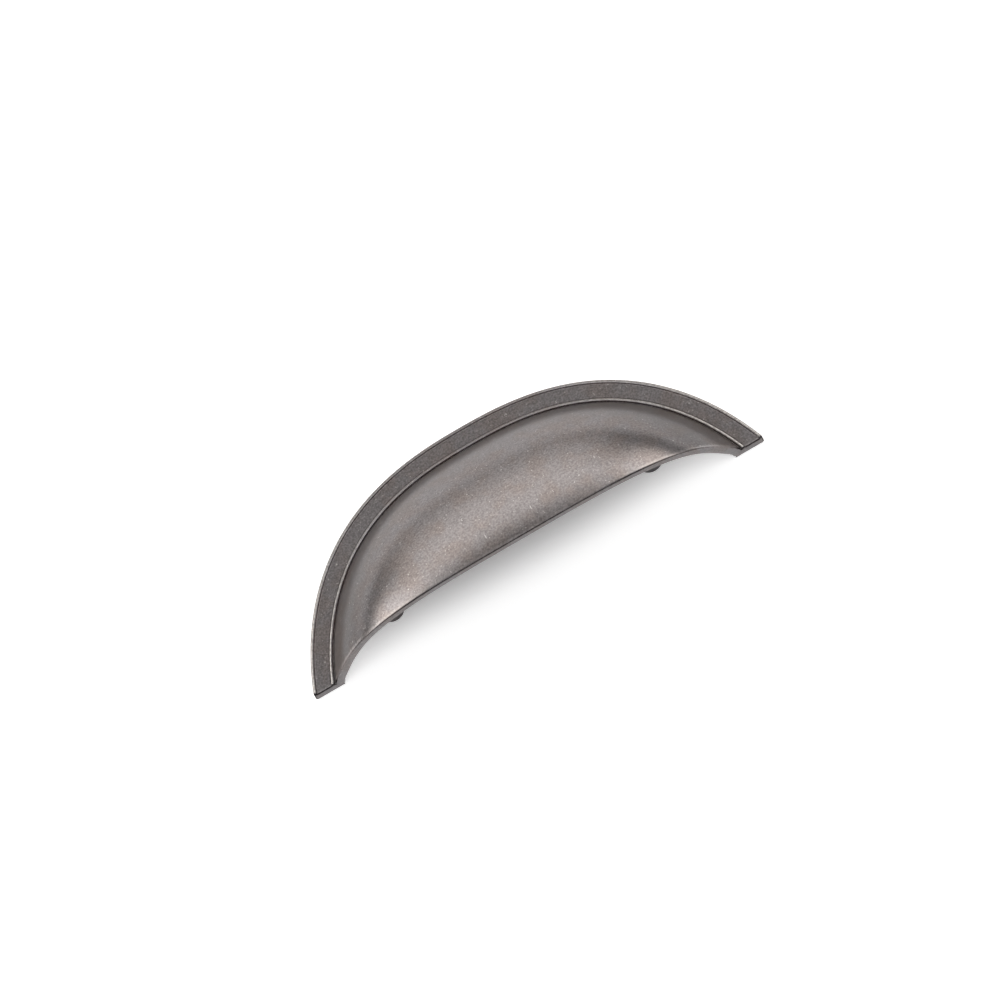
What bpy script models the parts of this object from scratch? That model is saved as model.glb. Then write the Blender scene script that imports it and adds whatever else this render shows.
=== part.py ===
"""Cup pull for a drawer front, cast in one piece.

X runs along the pull, Y from the open mouth at -Y to the closed side at +Y, and Z
from the back plane at zero out to the crest. The origin is the middle of the back
plane. A flange with two raised beads follows a flattened oval, a dome rises inside it
from the oval outline to an upright arched mouth, and two tapped posts stand under the
dome for the screws that come through the drawer front.
"""

import math

import bmesh
import bpy
import numpy as np

# Overall sizes, in metres
LENGTH = 0.1114
REACH = 0.0366
PROJECTION = 0.0251
WALL = 0.0023

# The plan outline is an oval of this order, whose long axis lies this far in front of
# the mouth
PLAN_ORDER = 2.45
PLAN_DROP = 0.043

# The mouth's arch has sides that lean in by this angle and close in a flat top: the
# first order rounds its shoulders, the second its top
ARCH_LEAN = math.radians(24)
SHOULDER_ORDER = 5.0
TOP_ORDER = 3.37

# The dome's middle section is part of an ellipse centred this far below the back plane
CROWN_DROP = 0.015

# Flange section: a flat band between an edge bead and an inner bead
BAND_HEIGHT = 0.0026
BAND_WIDTH = 0.0049
BEAD_RADIUS = 0.00042
CREASE_WIDTH = 0.0002
CREASE_DEPTH = 0.0003

# Posts and their tapped holes
SCREW_SPACING = 0.064
POST_SETBACK = 0.0095
POST_DIAMETER = 0.006
POST_DRAFT = math.radians(0.6)
POST_CHAMFER = 0.0003
ROOT_FILLET = 0.001
HOLE_DIAMETER = 0.0033
HOLE_DEPTH = 0.011
HOLE_CHAMFER = 0.0004
DRILL_POINT = math.radians(118)

# How far shapes and cutters run past the faces that trim them
OVERRUN = 0.004
BELOW = 0.001

# Facets
OUTLINE_STEPS = 64
DOME_ROWS = 22
BEAD_STEPS = 6
FLARE_STEPS = 4
ROUND_STEPS = 32
SHARP_ANGLE = math.radians(30)

# Points closer than this are one point, and heights on the dome are found by halving
MERGE = 1e-6
HALVINGS = 40

# Antique pewter
PEWTER_TONE = (0.30, 0.28, 0.27, 1)
PEWTER_ROUGHNESS = 0.42

MOUTH_Y = -REACH / 2


def oval_height(share, height, drop, order):
    """Height of an oval's cap above its chord, at a share of the half chord from its middle."""
    full = height + drop
    cut = 1 - (drop / full) ** order
    return full * (1 - cut * np.abs(share) ** order) ** (1 / order) - drop


def plan_point(share):
    """Outer edge of the flange, where share runs from -1 to 1 along the pull."""
    x = share * LENGTH / 2
    y = MOUTH_Y + oval_height(share, REACH, PLAN_DROP, PLAN_ORDER)
    return x, y


def crown_reach(rise):
    """Depth of the dome's middle section at this height, as a share of its depth at the back plane."""
    full = PROJECTION + CROWN_DROP
    return np.sqrt(1 - ((rise + CROWN_DROP) / full) ** 2) / math.sqrt(1 - (CROWN_DROP / full) ** 2)


def dome_half_width(rise):
    """Half width of the mouth's arch at this height, in step with the dome's foot on the flange."""
    foot = LENGTH / 2 - BAND_WIDTH - CREASE_WIDTH
    side = foot - math.tan(ARCH_LEAN) * (rise - BAND_HEIGHT)
    closing = 1 - (np.maximum(rise, 0) / PROJECTION) ** SHOULDER_ORDER
    return side * closing ** (1 / TOP_ORDER)


def dome_depth(rise):
    """Depth of the dome behind the mouth at this height, in step with its foot on the flange."""
    foot = REACH - BAND_WIDTH
    return foot * crown_reach(rise) / crown_reach(BAND_HEIGHT)


def dome_point(share, rise):
    """Dome surface: every level section is the plan oval, drawn in to the mouth's arch and the middle section."""
    x = share * dome_half_width(rise)
    y = MOUTH_Y + dome_depth(rise) * oval_height(share, REACH, PLAN_DROP, PLAN_ORDER) / REACH
    z = rise + 0 * share
    return np.stack([x, y, z], axis=-1)


def new_object(name, mesh, collection):
    obj = bpy.data.objects.new(name, mesh)
    collection.objects.link(obj)
    return obj


def as_cutter(obj):
    obj.hide_render = True
    obj.display_type = "WIRE"
    return obj


def cleaned(mesh):
    """The mesh with its doubles merged and its faces turned outwards."""
    bm = bmesh.new()
    bm.from_mesh(mesh)
    bmesh.ops.remove_doubles(bm, verts=bm.verts, dist=MERGE)
    bmesh.ops.recalc_face_normals(bm, faces=bm.faces)
    bm.to_mesh(mesh)
    bm.free()
    return mesh


def boolean(obj, operation, other):
    modifier = obj.modifiers.new(f"{operation.lower()} {other.name}", "BOOLEAN")
    modifier.operation = operation
    modifier.object = other
    return modifier


def dome_rises():
    """Heights of the dome's level sections, even in angle along its middle section, from below the back."""
    full = PROJECTION + CROWN_DROP
    start = math.asin((CROWN_DROP - BELOW) / full)
    rises = full * np.sin(np.linspace(start, math.pi / 2, DOME_ROWS)) - CROWN_DROP
    rises[-1] = PROJECTION
    return rises[:, None]


def dome_normals(share, rise):
    """Outward directions square to the dome surface; it is level at the crest."""
    step = 1e-4
    side = share * (1 - step)
    below = rise - step * PROJECTION
    above = np.minimum(rise + step * PROJECTION, PROJECTION)
    along = dome_point(side + step / 2, rise) - dome_point(side - step / 2, rise)
    upward = dome_point(side, above) - dome_point(side, below)
    normals = np.cross(upward, along)
    normals[-1] = (0, 0, 1)
    return normals / np.linalg.norm(normals, axis=-1, keepdims=True)


def dome_form(name, inset, front, bottom, collection):
    """Closed solid under the dome surface moved inwards by inset, run on to the given front and bottom."""
    share = np.sin(np.linspace(-math.pi / 2, math.pi / 2, OUTLINE_STEPS + 1))[None, :]
    rise = dome_rises()
    points = dome_point(share, rise) - inset * dome_normals(share, rise)
    ends = points[:, [0, -1]].copy()
    ends[..., 1] = front
    points = np.concatenate([ends[:, :1], points, ends[:, 1:]], axis=1)
    base = points[:1].copy()
    base[..., 2] = bottom
    points = np.concatenate([base, points])

    rows, columns = points.shape[:2]
    index = np.arange(rows * columns).reshape(rows, columns)
    sides = np.stack([index[:-1, :-1], index[:-1, 1:], index[1:, 1:], index[1:, :-1]], axis=-1)
    faces = sides.reshape(-1, 4).tolist()
    faces.append(index[0].tolist())
    faces.append(index[:, 0].tolist() + index[::-1, -1].tolist())
    mesh = bpy.data.meshes.new(name)
    mesh.from_pydata(points.reshape(-1, 3).tolist(), [], faces)
    return new_object(name, cleaned(mesh), collection)


def poly_curve(name, points, cyclic, dimensions):
    curve = bpy.data.curves.new(name, "CURVE")
    curve.dimensions = dimensions
    spline = curve.splines.new("POLY")
    spline.points.add(len(points) - 1)
    for target, point in zip(spline.points, points):
        target.co = (point[0], point[1], 0, 1)
    spline.use_cyclic_u = cyclic
    return curve


def bead(middle):
    """Half-round bead on the band, as inset and height from the flange's edge and the back plane."""
    turn = np.linspace(np.pi, 0, BEAD_STEPS + 1)
    inset = middle + BEAD_RADIUS * np.cos(turn)
    height = BAND_HEIGHT + BEAD_RADIUS * np.sin(turn)
    return list(zip(inset, height))


def flange_section():
    """The flange's closed section, from the outer edge inwards and back along its underside."""
    crease = BAND_WIDTH + CREASE_WIDTH
    under_dome = BAND_WIDTH + WALL / 2
    floor = BAND_HEIGHT - CREASE_DEPTH
    section = [(0, -BELOW)]
    section += bead(BEAD_RADIUS)
    section += bead(BAND_WIDTH - BEAD_RADIUS)
    section += [(BAND_WIDTH, floor), (crease, floor), (under_dome, floor), (under_dome, -BELOW)]
    return section


def flange(collection):
    """The flange's section carried round the plan outline and past the mouth."""
    angle = np.linspace(-np.pi / 2, np.pi / 2, OUTLINE_STEPS + 1)
    x, y = plan_point(np.sin(angle))
    path = np.stack([x, y], axis=-1)
    start = path[0] - path[1]
    end = path[-1] - path[-2]
    path = np.concatenate([
        [path[0] + OVERRUN * start / np.linalg.norm(start)],
        path,
        [path[-1] + OVERRUN * end / np.linalg.norm(end)],
    ])
    rail = new_object("flange_rail", poly_curve("flange_rail", path, False, "2D"), collection)
    outline = poly_curve("flange_section", flange_section(), True, "2D")
    section = new_object("flange_section", outline, collection)
    rail.data.bevel_mode = "OBJECT"
    rail.data.bevel_object = section
    rail.data.use_fill_caps = True
    bpy.context.view_layer.update()
    graph = bpy.context.evaluated_depsgraph_get()
    mesh = bpy.data.meshes.new_from_object(rail.evaluated_get(graph))
    mesh.name = "flange"
    swept = new_object("flange", cleaned(mesh), collection)
    bpy.data.objects.remove(rail)
    bpy.data.objects.remove(section)
    return as_cutter(swept)


def turned(name, profile, place, collection):
    """A profile of radius and height, top to bottom, turned about an upright axis."""
    mesh = bpy.data.meshes.new(name)
    points = [(radius, 0, height) for radius, height in profile]
    mesh.from_pydata(points, [(i, i + 1) for i in range(len(points) - 1)], [])
    obj = new_object(name, mesh, collection)
    obj.location = place
    screw = obj.modifiers.new("turn", "SCREW")
    screw.steps = ROUND_STEPS
    screw.render_steps = ROUND_STEPS
    screw.use_merge_vertices = True
    screw.merge_threshold = MERGE
    return as_cutter(obj)


def roof_height(x, y):
    """Height of the dome's outer surface over this point of the back plane."""
    low, high = 0.0, PROJECTION
    for _ in range(HALVINGS):
        rise = (low + high) / 2
        share = min(abs(x) / dome_half_width(rise), 1)
        if dome_point(share, rise)[1] > y and abs(x) < dome_half_width(rise):
            low = rise
        else:
            high = rise
    return low


def ceiling_height(x, y):
    """Height of the dome's inner surface over the highest side of a post that stands here."""
    reach = POST_DIAMETER / 2 + ROOT_FILLET
    slope_x = (roof_height(x + reach, y) - roof_height(x - reach, y)) / (2 * reach)
    slope_y = (roof_height(x, y + reach) - roof_height(x, y - reach)) / (2 * reach)
    steepness = math.hypot(slope_x, slope_y)
    return roof_height(x, y) + reach * steepness - WALL * math.hypot(1, steepness)


def post_profile(ceiling):
    """A drafted post, chamfered at its foot and flared where its high side runs into the dome."""
    foot = POST_DIAMETER / 2
    root = ceiling - ROOT_FILLET
    root_radius = foot + root * math.tan(POST_DRAFT)
    profile = [(0, ceiling + OVERRUN), (root_radius + ROOT_FILLET, ceiling + OVERRUN)]
    for turn in np.linspace(0, math.pi / 2, FLARE_STEPS + 1):
        flare = ROOT_FILLET * (1 - math.sin(turn))
        profile.append((root_radius + flare, root + ROOT_FILLET * math.cos(turn)))
    profile += [(foot + POST_CHAMFER * math.tan(POST_DRAFT), POST_CHAMFER), (foot - POST_CHAMFER, 0)]
    profile += [(foot - POST_CHAMFER, -OVERRUN), (0, -OVERRUN)]
    return profile


def hole_profile():
    """A blind tapping hole with a drill point at its end and a chamfered mouth."""
    radius = HOLE_DIAMETER / 2
    tip = HOLE_DEPTH + radius / math.tan(DRILL_POINT / 2)
    mouth = radius + HOLE_CHAMFER
    return [(0, tip), (radius, HOLE_DEPTH), (radius, HOLE_CHAMFER), (mouth, 0), (mouth, -BELOW), (0, -BELOW)]


def box(name, low, high, collection):
    mesh = bpy.data.meshes.new(name)
    bm = bmesh.new()
    bmesh.ops.create_cube(bm, size=1)
    middle = [(a + b) / 2 for a, b in zip(low, high)]
    size = [b - a for a, b in zip(low, high)]
    bmesh.ops.scale(bm, vec=size, verts=bm.verts)
    bmesh.ops.translate(bm, vec=middle, verts=bm.verts)
    bm.to_mesh(mesh)
    bm.free()
    return as_cutter(new_object(name, mesh, collection))


def pewter():
    """Dark antique pewter, brushed through on its edges."""
    material = bpy.data.materials.new("antique_pewter")
    material.use_nodes = True
    shader = material.node_tree.nodes["Principled BSDF"]
    shader.inputs["Base Color"].default_value = PEWTER_TONE
    shader.inputs["Metallic"].default_value = 1
    shader.inputs["Roughness"].default_value = PEWTER_ROUGHNESS
    return material


def build():
    for obj in list(bpy.data.objects):
        bpy.data.objects.remove(obj)
    parts = bpy.data.collections.new("cup_pull")
    cutters = bpy.data.collections.new("cutters")
    bpy.context.scene.collection.children.link(parts)
    bpy.context.scene.collection.children.link(cutters)

    pull = dome_form("cup_pull", 0, MOUTH_Y - OVERRUN, -2 * BELOW, parts)
    boolean(pull, "UNION", flange(cutters))

    core = as_cutter(dome_form("core", WALL, MOUTH_Y - 2 * OVERRUN, -OVERRUN, cutters))
    post_y = MOUTH_Y + POST_SETBACK
    for side, x in (("left", -SCREW_SPACING / 2), ("right", SCREW_SPACING / 2)):
        profile = post_profile(ceiling_height(x, post_y))
        boolean(core, "DIFFERENCE", turned(f"post_{side}", profile, (x, post_y, 0), cutters))
    boolean(pull, "DIFFERENCE", core)

    span = LENGTH / 2 + 2 * OVERRUN
    deep = MOUTH_Y - 4 * OVERRUN
    below = box("below_back", (-span, deep, -2 * OVERRUN), (span, -deep, 0), cutters)
    ahead = box("ahead_of_mouth", (-span, deep, -2 * OVERRUN), (span, MOUTH_Y, PROJECTION + OVERRUN), cutters)
    boolean(pull, "DIFFERENCE", below)
    boolean(pull, "DIFFERENCE", ahead)
    for side, x in (("left", -SCREW_SPACING / 2), ("right", SCREW_SPACING / 2)):
        boolean(pull, "DIFFERENCE", turned(f"hole_{side}", hole_profile(), (x, post_y, 0), cutters))

    pull.data.materials.append(pewter())
    pull.data.shade_smooth()
    pull.data.set_sharp_from_angle(angle=SHARP_ANGLE)


build()
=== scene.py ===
"""Looks of a cast cup pull: its fine surface, its antique pewter finish and a plain studio.

X runs along the pull, Y from the open mouth at -Y to the closed side at +Y, and Z from
the back plane at zero out to the crest. The pull lies on its back.
"""

import math
from typing import NamedTuple

import bmesh
import bpy
import numpy as np
from bpy.props import FloatProperty, FloatVectorProperty, IntProperty, PointerProperty
from mathutils import Matrix, Vector


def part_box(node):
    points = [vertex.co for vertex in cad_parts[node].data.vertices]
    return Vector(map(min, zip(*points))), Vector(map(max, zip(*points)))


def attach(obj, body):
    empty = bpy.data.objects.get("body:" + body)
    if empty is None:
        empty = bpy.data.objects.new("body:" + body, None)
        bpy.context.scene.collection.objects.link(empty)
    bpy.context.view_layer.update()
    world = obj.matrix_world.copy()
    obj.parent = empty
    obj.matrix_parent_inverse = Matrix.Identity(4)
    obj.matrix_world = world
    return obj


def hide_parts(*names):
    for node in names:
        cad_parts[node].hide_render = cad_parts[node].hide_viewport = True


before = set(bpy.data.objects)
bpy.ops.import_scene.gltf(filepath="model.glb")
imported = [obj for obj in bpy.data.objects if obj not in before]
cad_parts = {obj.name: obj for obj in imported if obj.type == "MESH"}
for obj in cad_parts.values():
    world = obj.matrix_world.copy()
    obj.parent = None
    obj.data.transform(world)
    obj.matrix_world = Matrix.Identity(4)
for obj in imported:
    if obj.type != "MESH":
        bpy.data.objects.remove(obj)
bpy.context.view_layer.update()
LOW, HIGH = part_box("cup_pull")
SIZE = HIGH - LOW

bl_info = {
    "name": "Cup pull in antique pewter",
    "version": (1, 0, 0),
    "blender": (4, 5, 0),
    "location": "3D View > Sidebar > Cup pull",
    "description": "Builds the fine surface of a cast cup pull, its pewter finish and a plain studio",
    "category": "Add Mesh",
}

MM = 0.001
WHITE = (1.0, 1.0, 1.0)

# Accuracy of the surfaces
HALVINGS = 44
SHARE_LIMIT = 1.04
BELOW_CREST = 1e-7
NORMAL_STEP = 1e-4
SMALLEST = 1e-15
MERGE = 1e-6
SHARP_ANGLE = math.radians(38)


class PullForm(bpy.types.PropertyGroup):
    """Sizes of the casting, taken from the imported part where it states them."""

    length: FloatProperty(
        name="Length", description="From tip to tip",
        default=SIZE.x, unit="LENGTH", precision=5)
    reach: FloatProperty(
        name="Reach", description="From the mouth to the closed side",
        default=SIZE.y, unit="LENGTH", precision=5)
    projection: FloatProperty(
        name="Projection", description="From the back plane to the crest",
        default=SIZE.z, unit="LENGTH", precision=5)
    wall: FloatProperty(
        name="Wall", description="Thickness of the dome",
        default=2.3 * MM, unit="LENGTH", precision=5)
    plan_order: FloatProperty(
        name="Plan order", description="Order of the oval that the plan outline follows", default=2.45)
    plan_drop: FloatProperty(
        name="Plan drop", description="How far in front of the mouth that oval's long axis lies",
        default=43 * MM, unit="LENGTH", precision=5)
    arch_lean: FloatProperty(
        name="Arch lean", description="How far the sides of the mouth's arch lean in",
        default=math.radians(25.5), subtype="ANGLE")
    shoulder_order: FloatProperty(
        name="Shoulder order", description="Order that rounds the arch's shoulders", default=5.0)
    top_order: FloatProperty(
        name="Top order", description="Order that rounds the arch's top", default=3.37)
    crown_drop: FloatProperty(
        name="Crown drop", description="How far below the back plane the middle section's ellipse is centred",
        default=15 * MM, unit="LENGTH", precision=5)
    foot_fade: FloatProperty(
        name="Foot fade", description="Height over which the dome eases from its foot to its arch",
        default=0.6 * MM, unit="LENGTH", precision=5)


class FlangeForm(bpy.types.PropertyGroup):
    """Sizes of the flange's section and of the rounded edges."""

    height: FloatProperty(
        name="Height", description="From the back plane to the band",
        default=2.6 * MM, unit="LENGTH", precision=5)
    width: FloatProperty(
        name="Width", description="From the outer edge to the crease",
        default=4.9 * MM, unit="LENGTH", precision=5)
    bead: FloatProperty(
        name="Bead", description="Radius of the two half-round beads",
        default=0.42 * MM, unit="LENGTH", precision=5)
    crease_width: FloatProperty(
        name="Crease width", description="Between the inner bead and the dome",
        default=0.2 * MM, unit="LENGTH", precision=5)
    crease_depth: FloatProperty(
        name="Crease depth", description="Below the band",
        default=0.3 * MM, unit="LENGTH", precision=5)
    back_round: FloatProperty(
        name="Back round", description="Radius of the outer edge at the back plane",
        default=0.15 * MM, unit="LENGTH", precision=5)
    rim_round: FloatProperty(
        name="Rim round", description="Rounding of the mouth's edges",
        default=0.42 * MM, unit="LENGTH", precision=5)
    tip_round: FloatProperty(
        name="Tip round", description="Rounding of the two outer corners",
        default=0.75 * MM, unit="LENGTH", precision=5)


class PostForm(bpy.types.PropertyGroup):
    """Sizes of the two posts and their tapped holes."""

    spacing: FloatProperty(
        name="Spacing", description="Between the two screws",
        default=64 * MM, unit="LENGTH", precision=5)
    setback: FloatProperty(
        name="Setback", description="From the mouth to the screws",
        default=9.5 * MM, unit="LENGTH", precision=5)
    diameter: FloatProperty(
        name="Diameter", description="Of a post at its foot",
        default=6 * MM, unit="LENGTH", precision=5)
    draft: FloatProperty(
        name="Draft", description="Taper of a post's side",
        default=math.radians(0.6), subtype="ANGLE")
    chamfer: FloatProperty(
        name="Chamfer", description="At the foot's edge",
        default=0.3 * MM, unit="LENGTH", precision=5)
    root: FloatProperty(
        name="Root", description="Radius where a post runs into the dome",
        default=1 * MM, unit="LENGTH", precision=5)
    thread: FloatProperty(
        name="Thread", description="Outer diameter of the screw thread",
        default=4 * MM, unit="LENGTH", precision=5)
    pitch: FloatProperty(
        name="Pitch", description="Rise of the thread in one turn",
        default=0.7 * MM, unit="LENGTH", precision=5)
    tapping: FloatProperty(
        name="Tapping", description="Inner diameter of the thread",
        default=3.3 * MM, unit="LENGTH", precision=5)
    depth: FloatProperty(
        name="Depth", description="Of the full hole",
        default=11 * MM, unit="LENGTH", precision=5)


class PewterFinish(bpy.types.PropertyGroup):
    """Colours and sheen of the plated surface."""

    tone: FloatVectorProperty(
        name="Tone", description="Colour of the open surface",
        default=(0.214, 0.200, 0.203), subtype="COLOR")
    brown: FloatVectorProperty(
        name="Brown", description="Colour of the warmer patches",
        default=(0.209, 0.185, 0.180), subtype="COLOR")
    worn: FloatVectorProperty(
        name="Worn", description="Colour where the plating is rubbed bright",
        default=(0.72, 0.70, 0.68), subtype="COLOR")
    # Colour of the patina in the grooves, also of the painted shade on the posts and the rim's painted dark
    # line
    patina_and_shade: FloatVectorProperty(
        name="Patina", description="Colour in the grooves",
        default=(0.012, 0.010, 0.011), subtype="COLOR")
    roughness: FloatProperty(
        name="Roughness", description="Of the open surface",
        default=0.28, min=0, max=1, subtype="FACTOR")
    grain: FloatProperty(
        name="Grain", description="Size of the finest mottling",
        default=0.42 * MM, unit="LENGTH", precision=5)
    blotch: FloatProperty(
        name="Blotch", description="Size of the large mottling",
        default=5 * MM, unit="LENGTH", precision=5)
    speck: FloatProperty(
        name="Speck", description="Distance between the light specks",
        default=0.8 * MM, unit="LENGTH", precision=5)
    relief: FloatProperty(
        name="Relief", description="Height of the grain",
        default=0.0024 * MM, unit="LENGTH", precision=7)


class Studio(bpy.types.PropertyGroup):
    """The floor, the light and the camera."""

    floor: FloatVectorProperty(
        name="Floor", description="Colour of the floor", default=(0.97, 0.97, 0.97), subtype="COLOR")
    # The floor glow near the pull; it rises outwards, so that its dimmer middle is a painted shadow
    floor_glow: FloatProperty(
        name="Floor glow",
        description="White that the floor adds near the pull where it is seen, directly or in the metal",
        default=0.155)
    elevation: FloatProperty(
        name="Elevation", description="Of the camera above the floor",
        default=math.radians(70), subtype="ANGLE")
    roll: FloatProperty(
        name="Roll", description="Turn of the picture about the line of sight",
        default=math.radians(30.05), subtype="ANGLE")
    lens: FloatProperty(
        name="Lens", description="Focal length in millimetres", default=1000)
    view_width: FloatProperty(
        name="View width", description="Width of the picture at the pull",
        default=214.8 * MM, unit="LENGTH", precision=5)


class Facets(bpy.types.PropertyGroup):
    """How finely the surfaces are divided."""

    columns: IntProperty(name="Columns", description="Steps along the pull", default=320)
    dome_rows: IntProperty(name="Dome rows", description="Steps from the crease to the crest", default=110)
    inner_rows: IntProperty(name="Inner rows", description="Steps up the inner skin", default=56)
    bead_steps: IntProperty(name="Bead steps", description="Steps over a bead", default=12)
    round_steps: IntProperty(name="Round steps", description="Steps over a rounded edge", default=7)
    turn_steps: IntProperty(name="Turn steps", description="Steps round a post", default=56)


GROUPS = {
    "pull_form": PullForm,
    "flange_form": FlangeForm,
    "post_form": PostForm,
    "pewter_finish": PewterFinish,
    "pull_studio": Studio,
    "pull_facets": Facets,
}


def bell(values, middle, width):
    """A bell of height one: e to the minus ((value - middle) / width)^2."""
    return np.exp(-((values - middle) / width) ** 2)


def mouth_y(form):
    """Where the mouth's plane lies on Y: half the reach in front of the middle."""
    return -form.reach / 2


def crease_floor(flange):
    """Height of the crease's floor: the band's height less the crease's depth."""
    return flange.height - flange.crease_depth


def plan_offset(form, share, inset):
    """Plan outline moved inwards.

    The outline is an oval of order n: x = share * length / 2 and
    y = mouth + full * (1 - cut |share|^n)^(1/n) - drop.
    Each point moves by inset against the oval's gradient.
    """
    order = form.plan_order
    half = form.length / 2
    full = form.reach + form.plan_drop
    cut = 1 - (form.plan_drop / full) ** order
    height = full * (1 - cut * np.abs(share) ** order) ** (1 / order)
    slope_x = cut * np.sign(share) * np.abs(share) ** (order - 1) / half
    slope_y = (height / full) ** (order - 1) / full
    size = np.hypot(slope_x, slope_y)
    x = share * half - inset * slope_x / size
    y = mouth_y(form) + height - form.plan_drop - inset * slope_y / size
    return x, y


def share_at(surface, rows, plane):
    """Share at which each row of a surface meets the plane y = plane, by halving the stretch around it."""
    low = np.zeros((rows, 1))
    high = np.full((rows, 1), SHARE_LIMIT)
    for _ in range(HALVINGS):
        middle = (low + high) / 2
        behind = surface(middle)[..., 1] > plane
        low = np.where(behind, middle, low)
        high = np.where(behind, high, middle)
    return low


def flange_surface(form, inset, height):
    """Rows of the flange: for each inset and height, the plan outline moved inwards at that height."""
    def surface(share):
        x, y = plan_offset(form, share, inset)
        return np.stack([x, y, height + 0 * x], axis=-1)
    return surface


def arch_width(form, flange, rise):
    """Half width of the mouth's arch at a height.

    Straight sides lean in from the crease, and the width closes in the top with the factor
    (1 - (rise / projection)^shoulder)^(1 / top).
    """
    lean = math.tan(form.arch_lean) * (rise - flange.height)
    side = form.length / 2 - flange.width - flange.crease_width - lean
    closing = 1 - np.clip(rise / form.projection, 0, 1) ** form.shoulder_order
    return side * closing ** (1 / form.top_order)


def foot_share(form, flange, rise):
    """Share of the foot's outline at a height: e to the minus (rise - floor) / fade, and one below it."""
    return np.exp(-np.maximum(rise - crease_floor(flange), 0) / form.foot_fade)


def half_width(form, flange, rise, foot):
    """Half width of the dome at a height: the arch's, eased in to the foot's own at the crease."""
    excess = arch_width(form, flange, crease_floor(flange)) - foot
    return arch_width(form, flange, rise) - excess * foot_share(form, flange, rise)


def crown(form, rise):
    """Depth of the middle section's ellipse at a height: the root of 1 - ((rise + drop) / full)^2."""
    full = form.projection + form.crown_drop
    return np.sqrt(np.clip(1 - ((rise + form.crown_drop) / full) ** 2, 0, None))


def half_depth(form, flange, rise, foot):
    """Depth of the middle section behind the mouth at a height, eased in to the foot's own at the crease."""
    scale = (form.reach - flange.width) / crown(form, flange.height)
    excess = scale * crown(form, crease_floor(flange)) - foot
    return scale * crown(form, rise) - excess * foot_share(form, flange, rise)


def dome_surface(form, flange, rise, inset=0.0):
    """Rows of the dome: the crease's plan curve, scaled to the half width and depth at each height.

    With an inset the surface moves inwards along its normal, the cross product of its two slopes.
    """
    margin = flange.width + flange.crease_width
    crease = flange_surface(form, margin, 0.0)
    end = share_at(crease, 1, mouth_y(form))[0, 0]
    foot_x = crease(np.array(end))[0]
    foot_y = crease(np.array(0.0))[1] - mouth_y(form)

    def outer(share, level):
        x, y = plan_offset(form, share * end, margin)
        x = x * half_width(form, flange, level, foot_x) / foot_x
        y = mouth_y(form) + (y - mouth_y(form)) * half_depth(form, flange, level, foot_y) / foot_y
        return np.stack([x, y, level + 0 * x], axis=-1)

    def surface(share):
        points = outer(share, rise)
        if not inset:
            return points
        lift = NORMAL_STEP * form.projection
        top = np.minimum(rise + lift, form.projection * (1 - NORMAL_STEP / 10))
        along = outer(share + NORMAL_STEP, rise) - outer(share - NORMAL_STEP, rise)
        upward = outer(share, top) - outer(share, np.minimum(rise, top - lift) - lift)
        normal = np.cross(upward, along)
        return points - inset * normal / np.linalg.norm(normal, axis=-1, keepdims=True)
    return surface


# Wear, patina and painted light and shade of the flange's rows, as shares
# The beads' wear is partly a painted highlight
BEAD_WEAR_AND_HIGHLIGHT = 0.8
BEAD_CREST = 0.45
BEAD_PATINA_IN = 0.05
BEAD_PATINA_OUT = 0.2
BEAD_PATINA_POWER = 1.5
# Painted light and shade: the beads painted duller, and painted light on their side towards the dome, on the
# band and in the crease
BEAD_PAINTED_SHADE = 0.65
GROOVE_PAINTED_LIGHT = 1.6
SIDE_WEAR = 0.15
BAND_PAINTED_LIGHT = 1.1
CREASE_PAINTED_LIGHT = 2.5

# Points over the flange's plain stretches
BACK_POINTS = 5
SIDE_POINTS = 6
BAND_POINTS = 18
CREASE_SHARES = np.array([0.1, 0.5])


def half_round(flange, middle, steps):
    """A bead's section: middle + r cos t and height + r sin t, for t from a half turn to zero.

    Its wear, partly a painted highlight, is a bell over the crest. Its patina follows (1 - sin t) to a power,
    and its painted shade is even but for the side towards the dome, where painted light rises with the square
    of cos t.
    """
    turn = np.linspace(math.pi, 0, steps + 1)
    inward = np.cos(turn) > 0
    patina_and_shade = np.where(inward, BEAD_PATINA_IN, BEAD_PATINA_OUT)
    return np.stack([
        middle + flange.bead * np.cos(turn),
        flange.height + flange.bead * np.sin(turn),
        BEAD_WEAR_AND_HIGHLIGHT * bell(np.cos(turn), 0, BEAD_CREST),
        patina_and_shade * (1 - np.sin(turn)) ** BEAD_PATINA_POWER,
        np.where(inward, BEAD_PAINTED_SHADE + GROOVE_PAINTED_LIGHT * np.cos(turn) ** 2, BEAD_PAINTED_SHADE),
    ], axis=-1)


def plain_rows(inset, height, wear_and_highlight=0.0, painted_shading=1.0):
    """Rows of a section without patina, where a single value counts for every row."""
    return np.stack(np.broadcast_arrays(inset, height, wear_and_highlight, 0.0, painted_shading), axis=-1)


def flange_section(flange, facets):
    """Inset, height, wear, patina and painted light and shade of the flange's section, from the back plane to
    the crease.
    """
    turn = np.linspace(0, math.pi / 2, BACK_POINTS)
    edge = flange.back_round
    lower = plain_rows(edge * (1 - np.sin(turn)), edge * (1 - np.cos(turn)))
    side = plain_rows(0.0, np.linspace(edge, flange.height, SIDE_POINTS)[1:-1], wear_and_highlight=SIDE_WEAR)
    inset = np.linspace(2 * flange.bead, flange.width - 2 * flange.bead, BAND_POINTS)[1:-1]
    band = plain_rows(inset, flange.height, painted_shading=BAND_PAINTED_LIGHT)
    inset = flange.width + flange.crease_width * CREASE_SHARES
    crease = plain_rows(inset, crease_floor(flange), painted_shading=CREASE_PAINTED_LIGHT)
    edge_bead = half_round(flange, flange.bead, facets.bead_steps)
    inner_bead = half_round(flange, flange.width - flange.bead, facets.bead_steps)
    return np.concatenate([lower, side, edge_bead, band, inner_bead, crease])


def spread(columns):
    """Shares from -1 to 1, closer together at the tips: a third even, the rest the sine of an even angle."""
    even = np.linspace(-1, 1, columns + 1)
    return (even + 2 * np.sin(even * math.pi / 2)) / 3


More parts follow.
